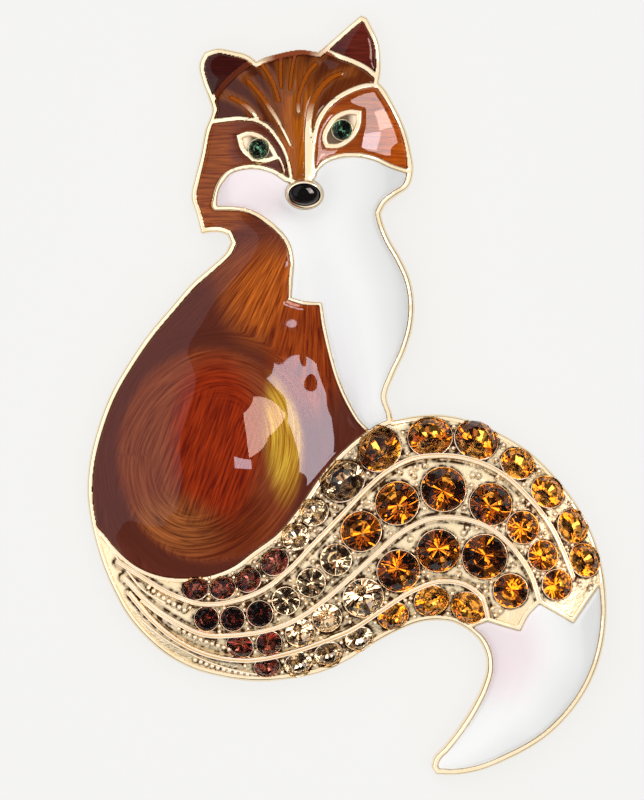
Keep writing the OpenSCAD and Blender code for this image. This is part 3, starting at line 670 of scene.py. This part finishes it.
# Ridges between the rows of stones, rails at the root of the tail, the collars that hold the
# stones and the beads raised between them, all cut from the metal of the casting with a graver,
# which leaves them brighter than their bed.
def sweep(path, up, profile, closed=False):
    """A profile of (side, up) points carried along a path, with flat ends if it is open."""
    n, m = len(path), len(profile)
    if closed:
        run = np.roll(path, -1, axis=0) - np.roll(path, 1, axis=0)
    else:
        run = np.gradient(path, axis=0)
    side = np.cross(run, up)
    side /= np.linalg.norm(side, axis=1)[:, None]
    points = path[:, None] + side[:, None] * profile[None, :, :1]
    points = points + up[:, None] * profile[None, :, 1:]
    i = np.arange(n if closed else n - 1)[:, None]
    k = np.arange(m)[None, :]
    a, b = i * m + k, i * m + (k + 1) % m
    c, d = (i + 1) % n * m + k, (i + 1) % n * m + (k + 1) % m
    faces = [np.stack([a, b, d], -1).reshape(-1, 3), np.stack([a, d, c], -1).reshape(-1, 3)]
    if not closed:
        fan = np.array([[0, j + 1, j] for j in range(1, m - 1)])
        faces += [fan, fan[:, ::-1] + (n - 1) * m]
    return points.reshape(-1, 3), np.concatenate(faces)


def front_normals(points, over=relief):
    """Where the front faces at points of it."""
    x, y = points[:, 0], points[:, 1]
    s = 0.3
    n = np.stack([(over(x - s, y) - over(x + s, y)) / (2 * s),
                  (over(x, y - s) - over(x, y + s)) / (2 * s), np.ones_like(x)], 1)
    return n / np.linalg.norm(n, axis=1)[:, None]


def on_front(route, spacing=0.2):
    """A line on the front through points of the drawing, and where the front faces along it."""
    line = on_plan(route, spacing)
    path = np.column_stack([line, relief(*line.T)])
    return path, front_normals(path)


SUNK = 0.3


def rail_profile(width, height):
    """A rail with a round back, sunk into the bed."""
    angle = np.linspace(0, math.pi, 9)
    back = np.stack([width / 2 * np.cos(angle), height * np.sin(angle) ** 0.7], 1)
    return np.concatenate([[[width / 2, -SUNK]], back, [[-width / 2, -SUNK]]])


def square_to(axis, near=(0, 1, 0)):
    """Two directions square to an axis and to each other."""
    side = np.cross(axis, near)
    side /= np.linalg.norm(side)
    return side, np.cross(axis, side)


def dome(centre, up, radius, height, sides=12):
    """A round grain of metal raised from the bed. Its rows are shares of its radius and height."""
    side, other = square_to(up, (0, 1, 0.1))
    angle = np.arange(sides) * 2 * math.pi / sides
    rows = [(1, -0.25), (1, 0.0), (0.93, 0.4), (0.72, 0.75), (0.4, 0.95)]
    points = [centre + up * height * h + (np.cos(a) * side + np.sin(a) * other) * radius * r
              for r, h in rows for a in angle]
    points.append(centre + up * height)
    faces = []
    for k in range(len(rows) - 1):
        for i in range(sides):
            a, b = k * sides + i, k * sides + (i + 1) % sides
            faces += [(a, a + sides, b + sides), (a, b + sides, b)]
    last = (len(rows) - 1) * sides
    faces += [(last + i, len(points) - 1, last + (i + 1) % sides) for i in range(sides)]
    faces += [(0, i, i + 1) for i in range(1, sides - 1)]
    return np.array(points), np.array(faces)


# A ridge is two thin rails on a wide, low one: place across, width and height
RIDGE_RAILS = [(0.14, 0.19, 0.38), (-0.14, 0.19, 0.38), (0, 0.4, 0.2)]
ROOT_RAIL = (0.2, 0.14)
# The section of a collar, out from the girdle of its stone and up
COLLAR_SIDES, COLLAR_INSET = 40, 0.2
COLLAR = np.array([(-0.04, -SUNK), (0.03, -SUNK), (0.03, 0.02), (0.015, 0.07), (-0.015, 0.08),
                   (-0.035, 0.05)])
work = []
for route in RIDGES:
    path, up = on_front(route)
    side = np.cross(np.gradient(path, axis=0), up)
    side /= np.linalg.norm(side, axis=1)[:, None]
    for off, width, height in RIDGE_RAILS:
        work.append(sweep(path + side * off, up, rail_profile(width, height)))
for route in ROOT_RAILS:
    work.append(sweep(*on_front(route, 0.25), rail_profile(*ROOT_RAIL)))
for at, radius, height in grains:
    work.append(dome(at, front_normals(at[None])[0], radius, height))
for centre, axis, size in STONES.values():
    angle = np.arange(COLLAR_SIDES) * 2 * math.pi / COLLAR_SIDES
    side, other = square_to(axis)
    path = centre + (size / 2 + SEAT_EDGE) * (np.cos(angle)[:, None] * side
                                              + np.sin(angle)[:, None] * other)
    inside = rim.at(path[:, 0], path[:, 1]) > COLLAR_INSET
    if not inside.all():
        path = np.roll(path, -np.flatnonzero(~inside)[0], axis=0)
        path = path[rim.at(path[:, 0], path[:, 1]) > COLLAR_INSET]
    work.append(sweep(path, np.repeat(axis[None], len(path), axis=0), COLLAR, inside.all()))
bright_gold = gold_plate("bright_cut_gold", ("#fceedb", "#f5e2c2"), 0.1, 1.5, 0.01)
add_piece("ridges_grains_and_collars", *joined(*work), bright_gold, ["casting"], sharp=60)

# Enamel, filled into its cells over stroked metal, fired and polished: glassy, flush with the
# lines and drawn down a little where it meets them.
ENAMEL_GRID, ENAMEL_DEPTH, MENISCUS, DRAWN_DOWN = 0.16, 0.56, 0.35, 0.07


def soft_step(low, high, value):
    """0 up to low and 1 from high on, or the other way round where high is the lower."""
    t = np.clip((np.asarray(value, dtype=float) - low) / (high - low), 0, 1)
    return t * t * (3 - 2 * t)


def enamel_body(name):
    """The enamel in the cells of a node."""
    low = np.min([loop.min(axis=0) for loop in cells[name]], axis=0) - 0.5
    high = np.max([loop.max(axis=0) for loop in cells[name]], axis=0) + 0.5
    own = Field(cells[name], ENAMEL_GRID, 1.2, low, high)
    points, triangles = cut_grid(own, own.value)
    z = relief(*points.T)
    drawn_down = DRAWN_DOWN * (1 - np.clip(own.at(*points.T) / MENISCUS, 0, 1)) ** 2
    return slab(points, triangles, z - drawn_down, z - ENAMEL_DEPTH)


def patch(px, py, centre, half, soft):
    """1 inside an oval on the drawing and 0 outside it, with a soft edge."""
    away = np.hypot((px - centre[0]) / half[0], (py - centre[1]) / half[1])
    return 1 - soft_step(1 - soft, 1 + soft, away)


# Tones of the stroked metal seen through each enamel, in a stroke and beside it, and the patches
# where they change: place and half size on the drawing, softness and the two tones
TONES = {
    "body_enamel": [("#5e281a", "#6e3426"),
                    (216, 186, 34, 76, 0.5, "#80360f", "#bc6424"),
                    (246, 148, 16, 22, 0.4, "#6a3020", "#8a4a34"),
                    (262, 246, 40, 24, 0.4, "#683020", "#7c4032"),
                    (270, 296, 42, 46, 0.5, "#80300a", "#e47a28"),
                    (306, 350, 36, 62, 0.4, "#6c1c04", "#bc5418")],
    "forehead_enamel": [("#4e1e0c", "#5a2610"), (352, 86, 42, 24, 0.5, "#642808", "#74360e"),
                        (297, 126, 17, 60, 0.45, "#a04c0c", "#cc7414")],
    "cheek_enamel": [("#843408", "#ac581c"), (398, 135, 18, 50, 0.5, "#943c06", "#d46812")],
    "left_ear_enamel": [("#3c1c16", "#4c2820"), (222, 64, 26, 14, 0.5, "#340805", "#50120c")],
    "right_ear_enamel": [("#481610", "#601e16"), (361, 40, 16, 24, 0.5, "#5c1c10", "#782a1c")],
}
# Stripes of the forehead, raised in the metal and seen through the enamel
STRIPES = [[(222, 94), (231, 98), (244, 105), (258, 120)],
           [(240, 74), (248, 81), (263, 99), (282, 129)],
           [(254, 60), (260, 62), (274, 86), (279, 102)], [(279, 50), (280.5, 70), (281, 90)],
           [(297, 48), (292, 70), (290, 92)], [(322, 54), (308, 74), (298.5, 101), (298.5, 115)],
           [(352, 72), (334, 77), (317, 95), (308.5, 126)]]
STRIPE_HALF = 0.5
# The haunch has a dome, with round strokes and tones of its own
HAUNCH, DOME, DOME_HALF = (208, 455), (211, 455), (93, 107)
DOME_TONES = [("#742c12", "#a65630"), (225, 520, 44, 34, 0.5, "#5c1c06", "#8c3a14"),
              (216, 440, 44, 80, 0.25, "#6c1202", "#b83c0c"),
              # The yellow patch on the dome's right side is partly the strokes' own tone and partly
              # painted light, where the dome turns to the lamps.
              (286, 425, 19, 66, 0.4, "#ac6408", "#ffda50"),
              (168, 530, 46, 30, 0.5, "#602808", "#c8743c")]


# The strokes are laid out in millimetres, so their noise has its scale in strokes per millimetre
STROKE_UNIT = 0.08


def stroke_values(name, points):
    """Where each point lies along and across the strokes under the enamel, and its two tones."""
    px, py = drawn(points[:, 0], points[:, 1])
    dx, dy = px - HAUNCH[0], (py - HAUNCH[1]) / 1.12
    out, angle = np.hypot(dx, dy), np.arctan2(dy, dx)
    swirl = np.stack([out * STROKE_UNIT + 0.6 * np.sin(angle * 2), angle * 4, 0 * px], 1)
    up = np.clip(300 - py, -120, 62)
    if name == "forehead_enamel":
        across = np.arctan2(px - 292, 205 - py) * 9
        down = np.hypot(px - 292, 205 - py) * STROKE_UNIT
    elif name == "body_enamel":
        in_haunch = soft_step(115, 95, out)
        fanned = (px - 2.8 * up) / (1 - 0.00889 * up)
        across = fanned * (1 - in_haunch) + (px * 0.94 + py * 0.34) * in_haunch
        across = np.where(py < 235, py, across) * STROKE_UNIT
        down = np.where(py < 235, px, py) * STROKE_UNIT
    else:
        across, down = py * STROKE_UNIT, px * STROKE_UNIT
    straight = np.stack([across, down, 0 * px], 1)
    in_dome = 1 - soft_step(0.93, 1.05, np.hypot((px - DOME[0]) / DOME_HALF[0],
                                                 (py - DOME[1]) / DOME_HALF[1]))
    dark, light = (colour(t)[:3] + np.zeros((len(px), 3)) for t in TONES[name][0])
    layers = [(zone, 1) for zone in TONES[name][1:]]
    if name == "body_enamel":
        layers.append(((*HAUNCH, 400, 400, 0.1, *DOME_TONES[0]), in_dome))
        layers += [(zone, in_dome) for zone in DOME_TONES[1:]]
    for (cx, cy, half_x, half_y, soft, deep, pale), within in layers:
        share = (patch(px, py, (cx, cy), (half_x, half_y), soft) * within)[:, None]
        dark = dark * (1 - share) + colour(deep)[:3] * share
        light = light * (1 - share) + colour(pale)[:3] * share
    if name == "forehead_enamel":
        for route in STRIPES:
            away = off_line(points[:, 0], points[:, 1], on_plan(route))
            share = (0.85 * (1 - soft_step(STRIPE_HALF * 0.5, STRIPE_HALF * 1.3, away)))[:, None]
            dark = dark * (1 - share) + colour("#84400f")[:3] * share
            light = light * (1 - share) + colour("#9c5822")[:3] * share
    turning = in_dome * soft_step(46, 66, out)
    return {"swirl": swirl, "straight": straight, "turning": turning, "dark": dark, "light": light}


# Translucent brown enamel over metal cut with fine strokes, which catch the light as thin lines
# 0.2 mm apart, 2.5 mm long, straight or round the haunch, under a clear and glossy face
brown_enamel, tree = new_material("translucent_brown_enamel")
carried = {name: add(tree, "Attribute", attribute_name=name).outputs
           for name in ("swirl", "straight", "turning", "dark", "light")}
strokes = []
for name, scale, distortion in (("straight", (5.5, 0.35, 1), 0.4), ("swirl", (6, 0.42, 1), 0.5)):
    run = add(tree, "Mapping", {"Vector": carried[name]["Vector"], "Scale": scale})
    strokes.append(add(tree, "TexNoise", {
        "Vector": run.outputs[0], "Scale": 1, "Detail": 4, "Roughness": 0.6,
        "Distortion": distortion}).outputs["Fac"])
stroke = add(tree, "Mix", {0: carried["turning"]["Fac"], 2: strokes[0], 3: strokes[1]}).outputs[0]
contrast = add(tree, "MapRange", {"Value": stroke, "From Min": 0.36, "From Max": 0.66}).outputs[0]
tone = add(tree, "Mix", {0: contrast, 6: carried["dark"]["Color"], 7: carried["light"]["Color"]},
           data_type="RGBA").outputs[2]
cut = add(tree, "Bump", {"Height": stroke, "Strength": 0.6, "Distance": 0.1 * MM}).outputs[0]
surface(tree, {"Base Color": tone, "Roughness": 0.45, "Normal": cut, "Coat Weight": 1,
               "Coat Roughness": 0.02, "Coat IOR": 1.52, "Specular IOR Level": 0})
translucent = list(TONES)

# Opaque white enamel, fired and polished: glossy, with the faintest unevenness of its tone
white_enamel, tree = new_material("opaque_white_enamel")
tone, _ = uneven(tree, 0.12, [add(tree, "Attribute", attribute_name=name).outputs["Color"]
                             for name in ("light", "dark")])
surface(tree, {"Base Color": tone, "Roughness": 0.3, "Coat Weight": 1, "Coat Roughness": 0.02})
# One patch of each white is a little darker and lavender: painted lavender shade.
TONES["white_front"] = [("#d2d4d5", "#cfd1d3"), (245, 196, 44, 30, 0.5, "#d8ced2", "#d4cace")]
TONES["white_tip"] = [("#d7d9da", "#d4d7d8"), (500, 650, 40, 46, 0.6, "#d4cacd", "#d0c4c8")]
for name in TONES:
    shape = enamel_body(name)
    add_piece(name + "_dressed", *shape, brown_enamel if name in translucent else white_enamel,
              [name], values=stroke_values(name, shape[0]))


# Cut stones of coloured glass with a metal foil behind, which throws the light back through the
# facets of the front. Pressed, then cut and polished on a wheel, and set with one turned each way.
def stone_shape(centre, axis, size, turn):
    """Points, front facets and back facets of a round cut stone with an eight-sided table."""
    n = 8
    side, other = square_to(axis)
    rows = [(TABLE_HALF, CROWN, 0), (0.40, 0.105, 0.5), (0.5, 0.0, 0), (0.5, -0.03, 0)]
    points = []
    for radius, height, half in rows:
        sides = 16 if radius == 0.5 else n
        for i in range(sides):
            a = turn + 2 * math.pi * (i + (half if sides == 8 else 0)) / sides
            out = math.cos(a) * side + math.sin(a) * other
            points.append(centre + size * (axis * height + radius * out))
    points.append(centre - axis * size * PAVILION)
    table, kite, upper, lower, tip = 0, 8, 16, 32, 48
    front = [(table, table + i, table + i + 1) for i in range(1, 7)]
    back = []
    for i in range(n):
        j = (i + 1) % n
        u = [upper + (2 * i + k) % 16 for k in (-1, 0, 1, 2, 3)]
        front += [(table + i, kite + i, table + j), (table + i, u[1], kite + i),
                  (table + i, kite + (i - 1) % n, u[1]), (kite + i, u[1], u[2]),
                  (kite + i, u[2], u[3])]
        back += [(lower + 2 * i, tip, lower + (2 * i + 1) % 16),
                 (lower + (2 * i + 1) % 16, tip, lower + (2 * i + 2) % 16)]
    for i in range(16):
        j = (i + 1) % 16
        front += [(upper + i, lower + i, lower + j), (upper + i, lower + j, upper + j)]
    return np.array(points), np.array(front), np.array(back)


def glass(name, tint):
    """Clear glass, cut and polished, with a faint tint."""
    made, tree = new_material(name)
    surface(tree, {"Base Color": colour(tint), "Roughness": 0.0, "IOR": 1.47,
                   "Transmission Weight": 1})
    return made


def foil(name, tones):
    """Lacquered metal foil behind the glass: mirror-bright, a little uneven in tone."""
    made, tree = new_material(name)
    tone, _ = uneven(tree, 1.5, [colour(t) for t in tones])
    surface(tree, {"Base Color": tone, "Metallic": 1, "Roughness": 0.05})
    return made


# Each kind: tint of its glass, dark and light foil, and how many of the 16 back facets are light on
# a large and on a small stone. The light foil is a painted highlight, for facets that throw a lamp
# back.
KINDS = [
    ("garnet", "#f8dcd0", ("#4e2a20", "#5e362a"), ("#945448", "#b87c6c"), 5, 4),
    ("champagne", "#fff8ec", ("#604830", "#745a42"), ("#f6e4cc", "#fcf2e0"), 10, 10),
    ("topaz", "#fff0d6", ("#643a1a", "#764822"), ("#eeac40", "#fcc864"), 7, 11),
    ("eye_stone", "#e6f2ea", ("#38463e", "#465449"), ("#7ea08c", "#94b4a2"), 9, 9),
]
SMALL_STONE = 3
random = np.random.default_rng(7)
for kind, tint, dark, light, on_large, on_small in KINDS:
    slots = [glass(kind + "_glass", tint), foil(kind + "_foil", dark),
             foil(kind + "_painted_light_foil", light)]
    for name in sorted(n for n in STONES if kind in n):
        centre, axis, size = STONES[name]
        points, front, back = stone_shape(centre, axis, size, random.uniform(0, math.pi / 4))
        piece = add_piece(name + "_cut", points, np.concatenate([front, back]), slots, [name], 180)
        # A tilted stone gets more light facets: painted light that makes up for the lamps it turns
        # from.
        painted_lit_facets = (on_large if size > SMALL_STONE else on_small) + 16 * (1 - axis[2])
        behind = 1 + (random.permutation(16) < painted_lit_facets)
        piece.data.polygons.foreach_set("material_index", np.concatenate(
            [np.zeros(len(front)), behind]).astype(np.int32))
        piece.data.shade_flat()

# The nose: a small oval dome of black enamel, fired and polished until it mirrors. It sits in a
# thin gold bezel that is rubbed over its edge.
black_enamel, tree = new_material("glossy_black_enamel")
tone, _ = uneven(tree, 0.3, [colour("#060505"), colour("#120e0e")])
surface(tree, {"Base Color": tone, "Roughness": 0.04})
NOSE, NOSE_TURN, NOSE_SIDES, NOSE_ROWS = (304.5, 195), math.radians(-4), 48, 12
NOSE_SIZE, NOSE_RISE, NOSE_DEPTH = (2.5, 1.9), 0.74, 0.5
seat = np.array([place(*NOSE)])
seat = np.column_stack([seat, forms(*seat.T)])
up = front_normals(seat, forms)[0]
across = np.cross([math.sin(-NOSE_TURN), math.cos(NOSE_TURN), 0], up)
across /= np.linalg.norm(across)
along = np.cross(up, across)
angle = np.linspace(0, 2 * math.pi, NOSE_SIDES, endpoint=False)
oval = (np.cos(angle)[:, None] * across * NOSE_SIZE[0] / 2
        + np.sin(angle)[:, None] * along * NOSE_SIZE[1] / 2)
rows = [seat - up * NOSE_DEPTH + oval]
for k in range(NOSE_ROWS):
    share = math.pi / 2 * k / NOSE_ROWS
    rows.append(seat + oval * math.cos(share) + up * NOSE_RISE * math.sin(share))
points = np.concatenate(rows + [seat + up * NOSE_RISE])
faces = [(0, i + 1, i) for i in range(1, NOSE_SIDES - 1)]
for k in range(NOSE_ROWS):
    for i in range(NOSE_SIDES):
        a, b = k * NOSE_SIDES + i, k * NOSE_SIDES + (i + 1) % NOSE_SIDES
        faces += [(a, b, b + NOSE_SIDES), (a, b + NOSE_SIDES, a + NOSE_SIDES)]
last = NOSE_ROWS * NOSE_SIDES
faces += [(last + i, last + (i + 1) % NOSE_SIDES, len(points) - 1) for i in range(NOSE_SIDES)]
add_piece("nose_dome", points, np.array(faces), black_enamel, ["nose"], sharp=60)
bezel = np.array([(-0.02, -0.4), (0.14, -0.4), (0.14, 0.06), (0.1, 0.14), (0.04, 0.16), (0, 0.1)])
ups = np.repeat(up[None], NOSE_SIDES, axis=0)
add_piece("nose_bezel", *sweep(seat + oval * 1.02, ups, bezel, closed=True), bright_gold,
          ["casting"], sharp=60)

# The pin, with its hinge block and catch: drawn and stamped steel, gold-plated and soldered to the
# back. The photo doesn't show it, so it keeps its plain shape and only gets its plating.
nodes["pin_back"].data.materials.clear()
nodes["pin_back"].data.materials.append(back_gold)

# The stage: a matt white table, which glows a little for the photo's even ground, in a pale tent.
# Two windows and the tent's left side show in the brown enamels. The metal, the stones and the
# face have lamps that light nothing else.
floor = bpy.data.meshes.new("table_top")
floor.from_pydata([(-3, -3, 0), (3, -3, 0), (3, 3, 0), (-3, 3, 0)], [], [(0, 1, 2, 3)])
table = bpy.data.objects.new("table_top", floor)
bpy.context.scene.collection.objects.link(table)
table_paint, tree = new_material("matt_white_table")
surface(tree, {"Base Color": colour("#616161"), "Roughness": 0.9, "Specular IOR Level": 0,
               "Emission Color": colour("#fdfdfb"), "Emission Strength": 0.76})
floor.materials.append(table_paint)

world = bpy.data.worlds.new("tent")
bpy.context.scene.world = world
world.use_nodes = True
tent = world.node_tree.nodes["Background"].inputs
tent["Color"].default_value = (1, 0.99, 0.975, 1)
tent["Strength"].default_value = 0.1
bpy.context.scene.view_settings.view_transform = "Standard"


def softbox(name, lean, azimuth, distance, width, height, radiance, tint):
    """A flat lamp that faces the brooch from lean degrees off the vertical, in metres."""
    lamp = bpy.data.lights.new(name, "AREA")
    lamp.shape, lamp.size, lamp.size_y = "RECTANGLE", width, height
    lamp.energy = radiance * math.pi * width * height
    lamp.color = tint
    box = bpy.data.objects.new(name, lamp)
    a, b = math.radians(lean), math.radians(azimuth)
    at = np.array([math.sin(a) * math.cos(b), math.sin(a) * math.sin(b), math.cos(a)]) * distance
    box.location = at
    box.rotation_euler = (0, a, b)
    bpy.context.scene.collection.objects.link(box)
    return box


right_window = softbox("right_window", 45.5, 17.4, 1.0, 0.21, 0.29, 9, (1, 0.7, 0.58))
lower_window = softbox("lower_window", 33.75, -0.7, 1.0, 0.272, 0.095, 7.6, (0.96, 0.88, 1))
softbox("left_tent", 46, 163, 1.0, 0.75, 2.4, 0.45, (0.96, 0.88, 1))
fill = softbox("fill", 0, 0, 1.4, 1.2, 1.2, 2.5, (1, 0.985, 0.96))
fill.visible_glossy = fill.visible_transmission = False


def only_on(lamp, pieces):
    """Keeps a lamp for some pieces."""
    lamp.light_linking.receiver_collection = bpy.data.collections.new("lit_by_" + lamp.name)
    for piece in pieces:
        lamp.light_linking.receiver_collection.objects.link(piece)


# The brown and black enamels mirror the dark side of the camera, so the lights above don't show in
# them, and one more window shows only in the cheek and the nose
golden = {polished_gold, cast_gold, back_gold, bright_gold}
lit = [piece for piece in bpy.context.scene.objects if piece.type == "MESH"
       and not {brown_enamel, black_enamel} & set(piece.data.materials)]
metal = [piece for piece in lit if golden & set(piece.data.materials)]
stones = [piece for piece in lit if piece.name.endswith("_cut")]
only_on(softbox("overhead", 0, 0, 1.2, 4.2, 4.2, 0.9, (1, 0.98, 0.95)),
        [piece for piece in lit if piece not in metal + stones])
only_on(softbox("metal_overhead", 0, 0, 1.2, 8, 8, 1.02, (1, 0.985, 0.965)), metal)
for number, azimuth in enumerate((35, 125, 215, 305)):
    stone_window = softbox("stone_window_%d" % number, 35, azimuth, 1.2, 0.7, 0.9, 3.8,
                           (1, 0.95, 0.92))
    stone_window.visible_glossy = False
    only_on(stone_window, stones)
mirroring = [piece for piece in bpy.context.scene.objects if piece.type == "MESH"
             and not piece.name.startswith(("white_", "table")) and piece not in stones]
only_on(right_window, mirroring)
only_on(lower_window, mirroring)
face_window = softbox("face_window", 39, 22, 1.0, 0.52, 0.9, 8, (1, 0.86, 0.84))
face_window.visible_diffuse = False
only_on(face_window, [bpy.data.objects["cheek_enamel_dressed"], bpy.data.objects["nose_dome"]])

# The photo was taken from straight above. Its frame is 65.26 mm high, 600 mm from the camera and
# 3.3 mm above the table.
FRAME_HEIGHT, CAMERA_AWAY, FRAME_MIDDLE, SENSOR = 65.26, 600, (-2.04, -0.41, 3.3), 24
camera_data = bpy.data.cameras.new("camera")
camera_data.sensor_fit = "VERTICAL"
camera_data.sensor_height = SENSOR
camera_data.lens = SENSOR * CAMERA_AWAY / FRAME_HEIGHT
camera_data.clip_start = 0.05
camera = bpy.data.objects.new("camera", camera_data)
camera.location = np.array(FRAME_MIDDLE) * MM + (0, 0, CAMERA_AWAY * MM)
bpy.context.scene.collection.objects.link(camera)
bpy.context.scene.camera = camera
